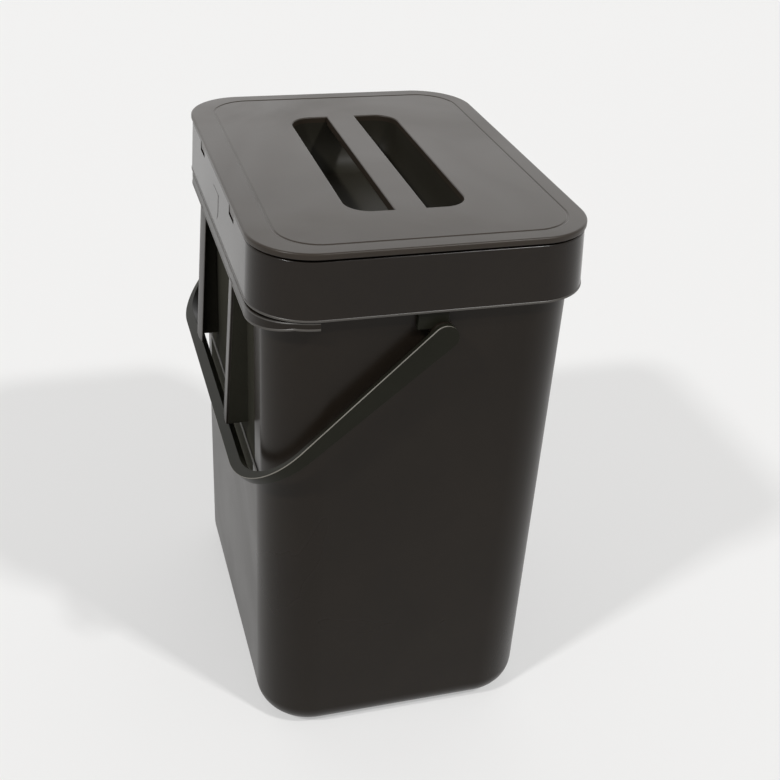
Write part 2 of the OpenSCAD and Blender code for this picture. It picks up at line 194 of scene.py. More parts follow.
# Bail handle
ARM_X = 104.9
ARM_T = 2.7
ARM_H = 11.8
ARM_END_R = 6.0
BOW_T = 6.0
BOW_R = 36.0
BOW_H = 4.3
BAIL_REACH = 115.4
BAIL_REST = math.radians(43.3)
BAIL_EASE = 0.35
STRAP_TAPER_L = BAIL_REACH + 1
PIVOT_Y = -4.8
PIVOT_Z = 228.4
PIVOT_R = 3.0
PIVOT_SUNK = 0.5
BOSS_R = 5.6
BOSS_ROOT = RIM_X - 3
PAD_W = 14.0
PAD_Y = -0.5
PAD_LOW_Z = 231.0
PAD_HIGH_Z = COLLAR_LOW_Z - 0.3
PAD_INSET = 1.4

# Steps on curves. A quarter of a rounded rectangle has QUARTER points.
CORNER_STEPS = 24
QUARTER = CORNER_STEPS + 1
BASE_STEPS = 10
EASE_STEPS = 5
TAB_STEPS = 24
SLOT_STEPS = 16
LUG_STEPS = 20
CUP_STEPS = 18
ARM_END_STEPS = 12
ARM_STEPS = 9
BOW_STEPS = 32
PIVOT_STEPS = 40
PEG_STEPS = 24

# Shading and joining
SMOOTH_ANGLE = math.radians(32)
SAME_POINT = 1e-7
COPLANAR_GAP = 0.01

# Studio
PAPER_WHITE = (0.95, 0.95, 0.95, 1)
FLOOR_PAINT = (0.84, 0.835, 0.825, 1)
FLOOR_GLOW_SHARE = 0.42
FLOOR_REACH = 6.0
ROOM_COLOUR = (1, 0.99, 0.97, 1)
ROOM_STRENGTH = 0.22

# Camera, found by fitting the caddy's edges in the photograph. Its place is counted from the
# aim along the view's own right, up and back.
AZIMUTH = math.radians(-107.67)
ELEVATION = math.radians(30.64)
ROLL = math.radians(3.28)
AIM = Vector((0, 0, 135))
CAMERA_RIGHT = 14.68
CAMERA_UP = 5.84
CAMERA_BACK = 644.13
FOCAL_PIXELS = 1202.09
PHOTO_PIXELS = 780
SENSOR = 36


# ------------------------------------------------------------------ materials

def plastic(name, colour, roughness, gloss, mottle=0.10, grain=0.05, smudge=0.0):
    """Moulded polypropylene: a faint mottle, a fine grain and, if asked, wiped smudges.

    gloss is the refractive index: the dark matt skin mirrors less than a clear one would.
    """
    mat = bpy.data.materials.new(name)
    mat.use_nodes = True
    nodes = mat.node_tree.nodes
    link = mat.node_tree.links.new
    shader = nodes["Principled BSDF"]
    place = nodes.new("ShaderNodeTexCoord")

    def noise(**settings):
        node = nodes.new("ShaderNodeTexNoise")
        for socket, value in settings.items():
            node.inputs[socket].default_value = value
        link(place.outputs["Object"], node.inputs["Vector"])
        return node.outputs["Fac"]

    tint = nodes.new("ShaderNodeValToRGB")
    dark, pale = tint.color_ramp.elements
    dark.position = 0.3
    dark.color = [c * (1 - mottle) for c in colour] + [1]
    pale.position = 0.7
    pale.color = [c * (1 + mottle) for c in colour] + [1]
    link(noise(Scale=22.0, Detail=5.0, Roughness=0.6), tint.inputs["Fac"])
    link(tint.outputs["Color"], shader.inputs["Base Color"])

    swing = 0.03 + smudge
    rough = nodes.new("ShaderNodeMapRange")
    rough.inputs["From Min"].default_value = 0.35
    rough.inputs["From Max"].default_value = 0.65
    rough.inputs["To Min"].default_value = roughness - swing
    rough.inputs["To Max"].default_value = roughness + swing
    link(noise(Scale=9.0, Detail=4.0, Distortion=1.2), rough.inputs["Value"])
    link(rough.outputs["Result"], shader.inputs["Roughness"])

    bump = nodes.new("ShaderNodeBump")
    bump.inputs["Strength"].default_value = grain
    bump.inputs["Distance"].default_value = 0.0002
    link(noise(Scale=1400.0, Detail=2.0), bump.inputs["Height"])
    link(bump.outputs["Normal"], shader.inputs["Normal"])

    shader.inputs["IOR"].default_value = gloss
    return mat


BUCKET_MAT = plastic("bucket plastic", (0.0135, 0.0100, 0.0070), 0.30, gloss=1.265)
COLLAR_MAT = plastic("collar plastic", (0.0135, 0.0100, 0.0072), 0.20, gloss=1.29)
LID_MAT = plastic("lid plastic", (0.028, 0.021, 0.0148), 0.36, gloss=1.33, smudge=0.02)
CUP_MAT = plastic("cup plastic", (0.020, 0.018, 0.013), 0.45, gloss=1.27)
# Grained skin that mirrors almost nothing: the grain is a real bump, and the low gloss paints
# shade on the field and the rails' webs.
RECESS_SHADE_MAT = plastic("dull bucket plastic with painted shade", (0.031, 0.030, 0.023), 0.80, gloss=1.06,
                     grain=0.3)
# The bail's own plastic; the bucket's pads take it too, as painted shade under the collar.
BAIL_MAT = plastic("bail plastic", (0.014, 0.0138, 0.0095), 0.34, gloss=1.17)
# Lighter, glossier skin for eased edges: a painted highlight where the lamps catch an edge.
EDGE_HIGHLIGHT_MAT = plastic("painted edge highlight", (0.045, 0.040, 0.034), 0.36, gloss=1.5, mottle=0.2)
# Paler still, for the bail strap's top edge and the ledge: a painted highlight line.
PALE_HIGHLIGHT_MAT = plastic("painted pale edge highlight", (0.15, 0.14, 0.12), 0.4, gloss=1.45, mottle=0.2)


# ------------------------------------------------------------------ meshes

def solid(name, points, faces, mat, body, highlighted=(), highlight_mat=EDGE_HIGHLIGHT_MAT):
    """A mesh in the part's frame from points in millimetres, riding on a body.

    highlighted lists the faces that take the lighter material, a painted edge highlight.
    """
    mesh = bpy.data.meshes.new(name)
    mesh.from_pydata([(x * MM, y * MM, z * MM) for x, y, z in points], [], faces)
    mesh.materials.append(mat)
    if highlighted:
        mesh.materials.append(highlight_mat)
        for index in highlighted:
            mesh.polygons[index].material_index = 1
    mesh.update()
    work = bmesh.new()
    work.from_mesh(mesh)
    bmesh.ops.remove_doubles(work, verts=work.verts, dist=SAME_POINT)
    bmesh.ops.recalc_face_normals(work, faces=work.faces)
    work.to_mesh(mesh)
    work.free()
    mesh.polygons.foreach_set("use_smooth", [True] * len(mesh.polygons))
    mesh.set_sharp_from_angle(angle=SMOOTH_ANGLE)
    obj = bpy.data.objects.new(name, mesh)
    bpy.context.scene.collection.objects.link(obj)
    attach(obj, body)
    return obj


def arc(cx, cy, r, start, end, steps):
    """Points round (cx, cy) from one angle to another, in degrees."""
    angles = [math.radians(start + (end - start) * k / steps) for k in range(steps + 1)]
    return [(cx + r * math.cos(a), cy + r * math.sin(a)) for a in angles]


def eased_top(t, z, r):
    """(outward, height) points from the side of an edge, t out, round to its top at height z."""
    return arc(t - r, z - r, r, 0, 90, EASE_STEPS)


def disc(cx, cy, r, steps=PIVOT_STEPS):
    return arc(cx, cy, r, 0, 360, steps)[:-1]


def outline(hx, hy, r, cy=0.0, back=None):
    """Rounded rectangle, anticlockwise. Nothing passes the plane y = back."""
    pts = []
    for quarter in range(4):
        sx = 1 if quarter in (0, 3) else -1
        sy = 1 if quarter < 2 else -1
        start = 90 * quarter
        pts += arc(sx * (hx - r), cy + sy * (hy - r), r, start, start + 90, CORNER_STEPS)
    if back is not None:
        pts = [(x, min(y, back)) for x, y in pts]
    return pts


def at(ring, z):
    return [(x, y, z) for x, y in ring]


def strip(rings, closed=False):
    """Points and quads through rings of equal length, each a list of (x, y, z)."""
    n = len(rings[0])
    count = len(rings)
    pts = [p for ring in rings for p in ring]
    faces = []
    for i in range(count if closed else count - 1):
        a = i * n
        b = ((i + 1) % count) * n
        for k in range(n):
            m = (k + 1) % n
            faces.append((a + k, a + m, b + m, b + k))
    return pts, faces


def capped(rings):
    """A closed solid through rings, with a flat cap at each end."""
    pts, faces = strip(rings)
    n = len(rings[0])
    faces.append(tuple(range(n - 1, -1, -1)))
    faces.append(tuple(range(len(pts) - n, len(pts))))
    return pts, faces


def beveled(obj, width, segments=2, angle=35, highlighted=False):
    """Eases the edges, which take the lighter painted edge highlight if asked."""
    mod = obj.modifiers.new("edges", "BEVEL")
    if highlighted:
        obj.data.materials.append(EDGE_HIGHLIGHT_MAT)
        mod.material = 1
    mod.width = width * MM
    mod.segments = segments
    mod.limit_method = "ANGLE"
    mod.angle_limit = math.radians(angle)
    mod.harden_normals = True
    return obj


def level(obj):
    """Keeps flat faces flat in the shading where they meet eased edges."""
    mod = obj.modifiers.new("normals", "WEIGHTED_NORMAL")
    mod.keep_sharp = True
    mod.weight = 60
    return obj


def pushed_along_x(name, profile, ends, mat, body, edge):
    """A profile of (y, z) between two places on X, with its edges eased."""
    low, high = sorted(ends)
    pts, faces = capped([[(x, y, z) for y, z in profile] for x in (low, high)])
    return beveled(solid(name, pts, faces, mat, body), edge)


def block(name, low, high, mat, body, edge=None):
    """A box between two corners, with its edges eased if asked."""
    profile = [(low[0], low[1]), (high[0], low[1]), (high[0], high[1]), (low[0], high[1])]
    pts, faces = capped([at(profile, low[2]), at(profile, high[2])])
    obj = solid(name, pts, faces, mat, body)
    return beveled(obj, edge) if edge else obj


def cut(obj, tool):
    """Takes the tool's shape out of obj for good."""
    mod = obj.modifiers.new("cut", "BOOLEAN")
    mod.operation = "DIFFERENCE"
    mod.solver = "EXACT"
    mod.object = tool
    bpy.context.view_layer.update()
    graph = bpy.context.evaluated_depsgraph_get()
    mesh = bpy.data.meshes.new_from_object(obj.evaluated_get(graph))
    obj.modifiers.clear()
    obj.data = mesh
    bpy.data.objects.remove(tool)


# ------------------------------------------------------------------ bucket

def bucket_ring(z, t, back=None):
    """The bucket's wall at height z, moved in by t. Two more points bound the field."""
    u = 1 - z / RIM_Z
    hx = RIM_X - DRAFT_W / 2 * u
    hy = (BACK_Y + RIM_Y - DRAFT_D * u) / 2
    if z > LEDGE_Z - t:
        back = RECESS_Y - t
    ring = outline(hx - t, hy - t, max(CORNER_R - t, WALL_LEAST_R), BACK_Y - hy, back)
    back_y = ring[QUARTER][1]
    edge_x = min(FIELD_X, ring[QUARTER - 1][0] - FIELD_MARGIN)
    field = [(edge_x, back_y), (-edge_x, back_y)]
    return at(ring[:QUARTER] + field + ring[QUARTER:], z)


def base_edge(r, z0, t):
    """Rings up the rounded edge round the base."""
    return [bucket_ring(z, inward) for inward, z in arc(t + r, z0 + r, r, 270, 180, BASE_STEPS)]


def bucket_shell():
    foot = BASE_EDGE_R + FOOT_RING_W
    rings = [
        bucket_ring(0, foot + CHANNEL_W),
        [(x, y, CHANNEL_DEPTH) for x, y, z in bucket_ring(0, foot + CHANNEL_W)],
        [(x, y, CHANNEL_DEPTH) for x, y, z in bucket_ring(0, foot)],
        bucket_ring(0, foot),
    ]
    rings += base_edge(BASE_EDGE_R, 0, 0)
    rings += [bucket_ring(z, 0) for z in (*LOW_RINGS_Z, FIELD_LOW_Z, LEDGE_Z - LEDGE_EDGE)]
    ledge_from = (len(rings) - 1) * len(rings[0])
    rings.append(bucket_ring(LEDGE_Z, 0, BACK_Y - LEDGE_EDGE))
    rings += [bucket_ring(z, 0) for z in (LEDGE_Z + LEDGE_STEP, HIGH_RING_Z, RIM_Z)]
    ledge_in_z = LEDGE_Z - WALL
    inner = (RIM_Z, HIGH_RING_Z, ledge_in_z + LEDGE_STEP, ledge_in_z, *reversed(LOW_RINGS_Z))
    rings += [bucket_ring(z, WALL) for z in inner]
    rings += reversed(base_edge(BASE_EDGE_R - WALL, FLOOR_T, WALL))
    # The ledge's edge faces take the pale material: a painted highlight along the ledge.
    ledge = range(ledge_from + QUARTER - 1, ledge_from + QUARTER + 2)
    shell = solid("bucket_shell", *capped(rings), BUCKET_MAT, "bucket", ledge, PALE_HIGHLIGHT_MAT)
    shell.data.materials.append(RECESS_SHADE_MAT)
    # Back faces of the field, from under the bail up, take the dull skin: painted shade.
    for face in shell.data.polygons:
        mid = face.center / MM
        on_back = mid.y > RECESS_Y - ON_PLANE and face.normal.y > FACES_BACK
        if on_back and abs(mid.x) < FIELD_X and mid.z > FIELD_LOW_Z:
            face.material_index = 2
    return level(shell)


def lip_section(depth):
    """Section of the turned-down lip, outward from the rim's outline."""
    low = RIM_Z - depth
    under = RIM_Z - LIP_T
    flare = LIP_FLARE * depth / LIP_DEPTH_BACK
    root_out, root_down = LIP_ROOT
    section = [(-WALL / 2, under), (-WALL / 2, RIM_Z - COPLANAR_GAP)]
    section += reversed(eased_top(LIP_T, RIM_Z, LIP_ROUND))
    section += [(LIP_T + flare - inward, low + up) for inward, up in LIP_OUTER_SHAPE]
    section += [(flare + LIP_INNER_EASE, low), (flare, low + LIP_INNER_EASE)]
    section.append((root_out, under - root_down))
    return section


def band_section(depth):
    """Section of the band that shows under the collar, with a bead on its lower edge."""
    low = RIM_Z - depth
    sunk = (depth - LIP_DEPTH_SIDE) / (LIP_DEPTH_BACK - LIP_DEPTH_SIDE)
    top = BAND_END_TOP_Z + (BAND_TOP_Z - BAND_END_TOP_Z) * sunk
    section = [(LIP_FLARE, low), (BAND_OUT - BAND_UNDER_EASE, low)]
    section += [(BAND_OUT + BAND_BEAD * share, low + up) for share, up in BAND_BEAD_SHAPE]
    section += [(BAND_OUT - inward, top - down) for inward, down in BAND_TOP_SHAPE]
    section.append((LIP_FLARE, top))
    return section


def lip_depth(y):
    """The deep part of the lip sinks from its two ends towards the back."""
    turn_y = RIM_Y - CORNER_R / 2
    share = min(1.0, max(0.0, (y - turn_y) / (RIM_Y - turn_y)))
    return LIP_DEPTH_SIDE + (LIP_DEPTH_BACK - LIP_DEPTH_SIDE) * share


def back_points(t):
    """The rim's outline round the back between the two steps, moved out by t."""
    cx = RIM_X + t - CORNER_R
    cy = RIM_Y + t - CORNER_R
    start = math.degrees(math.asin(max(0.0, (LIP_STEP_Y - cy) / CORNER_R)))
    corner = arc(cx, cy, CORNER_R, start, 90, CORNER_STEPS)
    return corner + [(-x, y) for x, y in reversed(corner)]


def swept_round(name, section):
    """A closed ring round the whole rim."""
    rings = [at(outline(RIM_X + t, RIM_Y + t, CORNER_R), z) for t, z in section]
    return level(solid(name, *strip(rings, closed=True), BUCKET_MAT, "bucket"))


def swept_back(name, section_at, highlighted=()):
    """A run round the back of the rim, closed at both ends, that follows the lip's depth.

    highlighted lists the sides of the section that take the painted edge highlight.
    """
    crosses = []
    for k, (x, y) in enumerate(back_points(0)):
        crosses.append([(*back_points(t)[k], z) for t, z in section_at(lip_depth(y))])
    n = len(crosses[0])
    lit_edge_faces = [i * n + side for i in range(len(crosses) - 1) for side in highlighted]
    return level(solid(name, *capped(crosses), BUCKET_MAT, "bucket", lit_edge_faces))


def rail_face_y(z):
    return BACK_Y + RAIL_PROUD + math.tan(RAIL_LEAN) * (RIM_Z - LIP_DEPTH_BACK - z)


def rails():
    """Two rails, each with a web on its outer side and a lip that falls away inwards."""
    made = []
    web = [
        (RAIL_ROOT_Y, RAIL_END_Z), (rail_face_y(RAIL_END_Z) - WEB_BEHIND, RAIL_END_Z),
        (rail_face_y(RAIL_TOP_Z) - WEB_BEHIND, RAIL_TOP_Z), (RAIL_ROOT_Y, RAIL_TOP_Z),
    ]
    for side in (-1, 1):
        outer = side * (RAIL_X + RAIL_W / 2)
        crown = outer - side * RAIL_FLAT
        inner = outer - side * RAIL_W
        lips = []
        for z in (RAIL_END_Z, RAIL_TOP_Z):
            y = rail_face_y(z)
            lips.append(at([(outer, y - RAIL_T), (outer, y), (crown, y),
                            (inner, y - RAIL_FALL), (inner, y - RAIL_T)], z))
        lip = solid(f"rail_lip_{side}", *capped(lips), BUCKET_MAT, "bucket")
        # The lip's eased edges take the lighter material: a painted highlight.
        made.append(beveled(lip, width=0.3, highlighted=True))
        ends = (outer - side * RAIL_T, outer - side * WEB_INSET)
        # The webs take the dull skin: painted shade beside the rails.
        made.append(pushed_along_x(f"rail_web_{side}", web, ends, RECESS_SHADE_MAT, "bucket", edge=0.2))
    return made


def bosses():
    """The bosses that the bail turns on, each with a pad above it in the bail's darker plastic,
    as painted shade.
    """
    made = []
    boss = disc(PIVOT_Y, PIVOT_Z, BOSS_R)
    for side in (-1, 1):
        ends = (side * BOSS_ROOT, side * COLLAR_X)
        made.append(pushed_along_x(f"boss_{side}", boss, ends, BUCKET_MAT, "bucket", edge=0.3))
        low, high = sorted((side * BOSS_ROOT, side * (COLLAR_X - PAD_INSET)))
        # Each pad takes the bail's darker plastic: painted shade under the collar's edge.
        made.append(block(f"pad_{side}", (low, PAD_Y - PAD_W / 2, PAD_LOW_Z),
                          (high, PAD_Y + PAD_W / 2, PAD_HIGH_Z), BAIL_MAT, "bucket", edge=0.5))
    return made


def bucket():
    made = [
        bucket_shell(),
        swept_round("lip_round", lip_section(LIP_DEPTH_FRONT)),
        swept_back("lip_back", lip_section),
        swept_back("lip_band", band_section, BAND_LIT_SIDES),
    ]
    made += rails()
    made += bosses()
    for obj in made:
        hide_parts("bucket")


# ------------------------------------------------------------------ collar

def collar_base(z):
    """Half sizes of the collar's outer face at height z."""
    taper = COLLAR_TAPER * (z - COLLAR_LOW_Z) / (COLLAR_TOP_Z - COLLAR_LOW_Z)
    return COLLAR_X - taper, COLLAR_Y - taper


def collar_ring(t, z):
    """Outline moved in by t from the outer face at height z."""
    hx, hy = collar_base(z)
    return at(outline(hx - t, hy - t, max(CORNER_R - t, COLLAR_LEAST_R)), z)


def mouth_ring(grow, z):
    return at(outline(MOUTH_X + grow, MOUTH_Y + grow, MOUTH_R + grow), z)


def collar_shell():
    """Skirt, top and mouth of the collar, with a notch for each hinge lug."""
    top = COLLAR_TOP_Z
    low = COLLAR_LOW_Z
    under = top - COLLAR_WALL
    bead_top = top + MOUTH_BEAD_H
    bead_side = bead_top - MOUTH_BEAD_EASE
    mouth = [
        (MOUTH_BEAD_W, top), (MOUTH_BEAD_W, bead_side),
        (MOUTH_BEAD_W - MOUTH_BEAD_EASE, bead_top), (MOUTH_BEAD_EASE, bead_top),
        (0, bead_side), (0, SKIRT_LOW_Z), (COLLAR_WALL, SKIRT_LOW_Z), (COLLAR_WALL, under),
    ]
    rings = [collar_ring(-COLLAR_BEAD * share, low + up) for share, up in COLLAR_BEAD_SHAPE]
    rings += [collar_ring(-t, z) for t, z in eased_top(0, top, COLLAR_EDGE)]
    rings += [mouth_ring(grow, z) for grow, z in mouth]
    rings += [collar_ring(COLLAR_WALL, z) for z in (under, low)]
    # The low bead's faces take the lighter material: a painted highlight along the collar's lower
    # edge.
    bead = range((len(COLLAR_BEAD_SHAPE) - 1) * len(rings[0]))
    shell = solid("collar_shell", *strip(rings, closed=True), COLLAR_MAT, "collar", bead)
    half = LUG_W / 2 + LUG_GAP
    front = HINGE_Y - KNUCKLE_R - NOTCH_FRONT_GAP
    for side in (-1, 1):
        tool = block("notch", (side * HINGE_X - half, front, HINGE_Z - NOTCH_DEPTH),
                     (side * HINGE_X + half, PAST_COLLAR_Y, PAST_COLLAR_Z), COLLAR_MAT, "collar")
        cut(shell, tool)
    shell.data.set_sharp_from_angle(angle=SMOOTH_ANGLE)
    return level(shell)


def collar_tab():
    """The low tab on the collar's back, square above and round below."""
    r = TAB_W / 2
    low = COLLAR_LOW_Z + TAB_RISE
    tab = [(-r, low + TAB_H), (r, low + TAB_H)] + arc(0, low + r, r, 0, -180, TAB_STEPS)
    inner = [(x, collar_base(z)[1] - TAB_SUNK, z) for x, z in tab]
    outer = [(x, collar_base(z)[1] + TAB_PROUD, z) for x, z in tab]
    obj = solid("collar_tab", *capped([inner, outer]), COLLAR_MAT, "collar")
    return beveled(obj, width=TAB_PROUD, segments=3)


def peg_pockets():
    """Blocks inside the collar, at both sides of each notch, that take the hinge pegs."""
    made = []
    half = LUG_W / 2 + LUG_GAP
    low_z = HINGE_Z - PEG_R - POCKET_UNDER
    back_y = HINGE_Y + PEG_R + POCKET_BEHIND
    for side in (-1, 1):
        for x in (side * HINGE_X - half - POCKET_DEEP, side * HINGE_X + half):
            high = (x + POCKET_DEEP, back_y, COLLAR_TOP_Z - COPLANAR_GAP)
            made.append(block(f"pocket_{side}_{x:.0f}", (x, POCKET_FRONT_Y, low_z), high,
                              COLLAR_MAT, "collar", edge=0.2))
    return made


def collar():
    for obj in [collar_shell(), collar_tab()] + peg_pockets():
        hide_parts("collar")


# ------------------------------------------------------------------ lid

def slot(side, grow):
    """Outline of one finger slot: round outer corners, square corners at the bar."""
    hx = GRIP_L / 2 + grow
    near = BAR_W / 2 - grow
    r = GRIP_R + grow
    cy = GRIP_W / 2 + grow - r
    pts = [(hx, near)]
    pts += arc(hx - r, cy, r, 0, 90, SLOT_STEPS)
    pts += arc(r - hx, cy, r, 90, 180, SLOT_STEPS)
    pts.append((-hx, near))
    return [(x, side * y) for x, y in pts]


def filled(loops):
    """A flat sheet between closed loops of (x, y, z)."""
    work = bmesh.new()
    edges = []
    for loop in loops:
        verts = [work.verts.new((x * MM, y * MM, z * MM)) for x, y, z in loop]
        pairs = zip(verts, verts[1:] + verts[:1])
        edges += [work.edges.new(pair) for pair in pairs]
    bmesh.ops.triangle_fill(work, edges=edges, use_beauty=True)
    work.verts.index_update()
    pts = [tuple(c / MM for c in v.co) for v in work.verts]
    faces = [tuple(v.index for v in f.verts) for f in work.faces]
    work.free()
    return pts, faces


def joined(*parts):
    """Several (points, faces) pairs as one."""
    pts = []
    faces = []
    for more_pts, more_faces in parts:
        base = len(pts)
        pts += more_pts
        faces += [tuple(base + i for i in face) for face in more_faces]
    return pts, faces


def lid_ring(t, z):
    return at(outline(LID_X - t, LID_Y - t, LID_R - t), z)


def line_ring(t, z):
    """Outline of the pressed line, which keeps further from the lid's back edge."""
    hx = LID_X - LINE_IN - t
    hy = LID_Y - LINE_IN - LINE_BACK / 2 - t
    return at(outline(hx, hy, LID_R - LINE_IN - t, -LINE_BACK / 2), z)


def lid_plate():
    """The plate with its eased rim, its pressed line and both finger slots."""
    top = LID_TOP_Z
    low = LID_LOW_Z
    rings = [lid_ring(t, low + up) for t, up in LID_UNDER_SHAPE]
    rings += [lid_ring(-t, z) for t, z in eased_top(0, top, LID_EDGE)]
    rings += [line_ring(t, top - down) for t, down in LINE_SHAPE]
    rings += [line_ring(LINE_W - t, top - down) for t, down in reversed(LINE_SHAPE)]
    sides = strip(rings)
    wall = [(SLOT_EDGE - t, z) for t, z in reversed(eased_top(SLOT_EDGE, top, SLOT_EDGE))]
    wall.append((0, low))
    walls = [strip([at(slot(side, grow), z) for grow, z in wall]) for side in (-1, 1)]
    top_sheet = filled([rings[-1]] + [at(slot(side, SLOT_EDGE), top) for side in (-1, 1)])
    low_sheet = filled([rings[0]] + [at(slot(side, 0), low) for side in (-1, 1)])
    pts, faces = joined(sides, *walls, top_sheet, low_sheet)
    return level(solid("lid_plate", pts, faces, LID_MAT, "lid"))


def plug_ring():
    """The ring under the plate that fills the mouth, with more room at the back."""
    hx = MOUTH_X - PLUG_FIT
    hy = MOUTH_Y - (PLUG_FIT + PLUG_BACK_FIT) / 2
    cy = (PLUG_FIT - PLUG_BACK_FIT) / 2
    r = MOUTH_R - PLUG_FIT
    low = LID_LOW_Z - PLUG_DEPTH
    section = [
        (0, LID_LOW_Z), (0, low + PLUG_EASE), (PLUG_EASE, low),
        (PLUG_T - PLUG_EASE, low), (PLUG_T, low + PLUG_EASE), (PLUG_T, LID_LOW_Z),
    ]
    rings = [at(outline(hx - t, hy - t, r - t, cy), z) for t, z in section]
    return level(solid("plug_ring", *strip(rings, closed=True), LID_MAT, "lid"))


def hinge_lugs():
    """The lugs that turn in the collar's notches, each with a peg through it."""
    made = []
    start = math.degrees(math.acos(KNUCKLE_R / LUG_TURN_R))
    lug = [(HINGE_Y + KNUCKLE_R, LID_LOW_Z), (HINGE_Y - KNUCKLE_R, LID_LOW_Z)]
    lug += arc(HINGE_Y, HINGE_Z, LUG_TURN_R, 180 + start, 360 - start, LUG_STEPS)
    peg = disc(HINGE_Y, HINGE_Z, PEG_R, PEG_STEPS)
    for side in (-1, 1):
        low = side * HINGE_X - LUG_W / 2
        high = side * HINGE_X + LUG_W / 2
        made.append(pushed_along_x(f"hinge_lug_{side}", lug, (low, high),
                                   LID_MAT, "lid", edge=0.25))
        made.append(pushed_along_x(f"hinge_peg_{side}", peg, (low - PEG_L, high + PEG_L),
                                   LID_MAT, "lid", edge=0.2))
    return made


def grip_bar_rib():
    hx = GRIP_L / 2 - RIB_GAP
    return block("grip_bar_rib", (-hx, -BAR_W / 2, LID_TOP_Z - BAR_T),
                 (hx, BAR_W / 2, LID_LOW_Z + RIB_SUNK), LID_MAT, "lid", edge=0.5)


def lid():
    for obj in [lid_plate(), plug_ring(), grip_bar_rib()] + hinge_lugs():
        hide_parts("lid")


def cup_ring(depth, t):
    """The cup's inner face at a depth below the plate, moved out and down by t."""
    pull = CUP_PULL * (1 - math.sqrt(max(0.0, 1 - (depth / CUP_DEPTH) ** CUP_BELLY)))
    hx = GRIP_L / 2 - pull * CUP_END_SHARE + t
    hy = GRIP_W / 2 - pull + t
    r = max(GRIP_R - pull * CUP_CORNER_SHARE + t, CUP_LEAST_R)
    return at(outline(hx, hy, r), LID_LOW_Z - depth - t)


def grip_cup():
    quarter = arc(0, 0, CUP_DEPTH, 0, 90, CUP_STEPS)
    depths = [depth for across, depth in quarter]
    flange = outline(GRIP_L / 2 + CUP_FLANGE, GRIP_W / 2 + CUP_FLANGE, GRIP_R + CUP_FLANGE)
    rings = [cup_ring(depth, 0) for depth in reversed(depths)]
    rings += [at(flange, LID_LOW_Z), at(flange, LID_LOW_Z - CUP_T)]
    rings += [cup_ring(depth, CUP_T) for depth in depths]
    obj = level(solid("cup_shell", *capped(rings), CUP_MAT, "lid"))
    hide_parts("grip_cup")


# ------------------------------------------------------------------ bail

def bail_path(x, r):
    """Half of one side of the strap, seen square on, as (across, along) from pivot to middle."""
    bow_from = BAIL_REACH - BOW_R
    along = [-depth for depth, across in arc(0, 0, ARM_END_R, 0, 90, ARM_END_STEPS)]
    along += [bow_from * (k + 1) / ARM_STEPS for k in range(ARM_STEPS)]
    return [(x, a) for a in along] + arc(x - r, bow_from, r, 0, 90, BOW_STEPS)[1:]


def strap_height(a):
    """Lower and upper edge of the strap at a distance along the arms: round at the end."""
    if a < 0:
        h = math.sqrt(max(0.0, ARM_END_R ** 2 - a ** 2))
        return max(-h, ARM_END_R - ARM_H), h
    return ARM_END_R - ARM_H + (ARM_H - BOW_H) * a / STRAP_TAPER_L, ARM_END_R


def bail_section(outer, inner):
    """Corners of the strap between its outer and inner point, with an eased upper outer edge that
    takes a painted highlight.
    """
    low_out, high_out = strap_height(outer[1])
    low_in, high_in = strap_height(inner[1])
    ease = min(BAIL_EASE, (high_out - low_out) / 3)
    share = ease / math.dist(outer, inner)
    eased = [a + (b - a) * share for a, b in zip(outer, inner)]
    return [(*outer, low_out), (*outer, high_out - ease), (*eased, high_out),
            (*inner, high_in), (*inner, low_in)]


def bail():
    turn = Matrix.Rotation(-BAIL_REST, 3, "X")
    pivot = Vector((0, PIVOT_Y, PIVOT_Z))

    def placed(ring):
        return [tuple(turn @ Vector(p) + pivot) for p in ring]

    outer = bail_path(ARM_X + ARM_T, BOW_R)
    inner = bail_path(ARM_X, BOW_R - BOW_T)
    half = [bail_section(o, i) for o, i in zip(outer, inner)]
    other = [[(-x, a, h) for x, a, h in ring] for ring in reversed(half)]
    rings = [placed(ring) for ring in half + other]
    # The eased top edge takes the pale material: a painted highlight along the strap.
    lit_edge_faces = [i * len(rings[0]) + 1 for i in range(len(rings) - 1)]
    strap = solid("bail_strap", *capped(rings), BAIL_MAT, "bail", lit_edge_faces, PALE_HIGHLIGHT_MAT)
    made = [beveled(strap, width=0.4, segments=3, angle=50)]
    for side in (-1, 1):
        ends = sorted((side * RIM_X, side * (ARM_X + PIVOT_SUNK)))
        rings = [placed([(x, y, z) for y, z in disc(0, 0, PIVOT_R)]) for x in ends]
        peg = solid(f"bail_peg_{side}", *capped(rings), BAIL_MAT, "bail")
        made.append(beveled(peg, width=0.3))
    for obj in made:
        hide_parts("bail")


bucket()
collar()
lid()
grip_cup()
bail()


# ------------------------------------------------------------------ stage

def math_node(nodes, link, operation, first, second):
    """A Math node. Its second input is a socket or a number."""
    node = nodes.new("ShaderNodeMath")
    node.operation = operation
    link(first, node.inputs[0])
    if isinstance(second, float):
        node.inputs[1].default_value = second
    else:
        link(second, node.inputs[1])
    return node.outputs["Value"]


def background_rays(nodes, link):
    """1 for the rays that show the background: seen straight, in gloss or through glass."""
    rays = nodes.new("ShaderNodeLightPath").outputs
    gloss = math_node(nodes, link, "MAXIMUM", rays["Is Camera Ray"], rays["Is Glossy Ray"])
    return math_node(nodes, link, "MAXIMUM", gloss, rays["Is Transmission Ray"])


